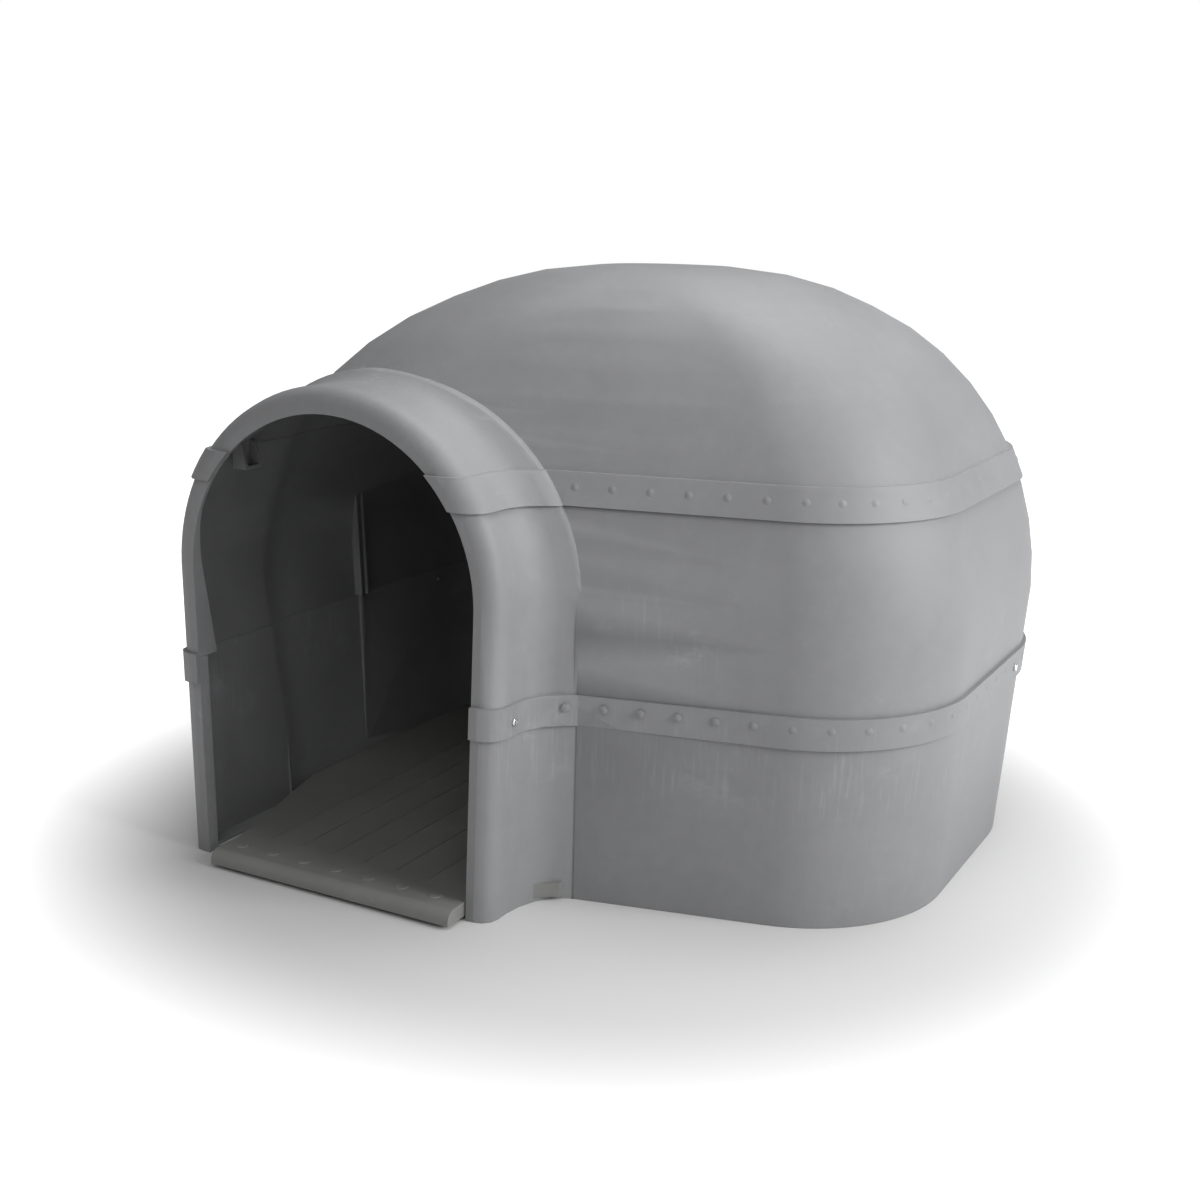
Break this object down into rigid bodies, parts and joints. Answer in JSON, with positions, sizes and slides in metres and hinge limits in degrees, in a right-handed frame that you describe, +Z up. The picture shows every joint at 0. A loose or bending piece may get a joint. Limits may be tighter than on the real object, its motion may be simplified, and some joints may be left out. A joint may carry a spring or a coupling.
{
  "type": "dog house",
  "caption": "Moulded dog house with an off-centre arched porch, stacked lapped shell sections, a lift-off domed roof and a drop-in floor panel.",
  "frame": {"origin": "middle of the footprint, on the ground", "axes": "+Z up; the door faces -Y and stands towards -X; the long side of the room runs along X"},
  "size_m": [1.0566, 0.9652, 0.85],
  "materials": {
    "shell_plastic": "matte, slightly speckled grey",
    "floor_plastic": "matte grey",
    "fastener": "bright zinc"
  },
  "bodies": {
    "house": {"base_ring": "shell_plastic", "middle_ring": "shell_plastic", "floor_panel": "floor_plastic", "lap_screw_porch_right": "fastener", "lap_screw_porch_left": "fastener", "lap_screw_side_right": "fastener", "lap_screw_side_left": "fastener", "lap_screw_back_right": "fastener", "lap_screw_back_left": "fastener", "lap_nut_porch_right": "fastener", "lap_nut_porch_left": "fastener", "lap_nut_side_right": "fastener", "lap_nut_side_left": "fastener", "lap_nut_back_right": "fastener", "lap_nut_back_left": "fastener"},
    "roof": {"roof_shell": "shell_plastic"}
  },
  "joints": [
    {"name": "roof_lift", "type": "slide", "parent": "house", "child": "roof", "axis": [0, 0, 1], "range_m": [0, 0.15]}
  ]
}
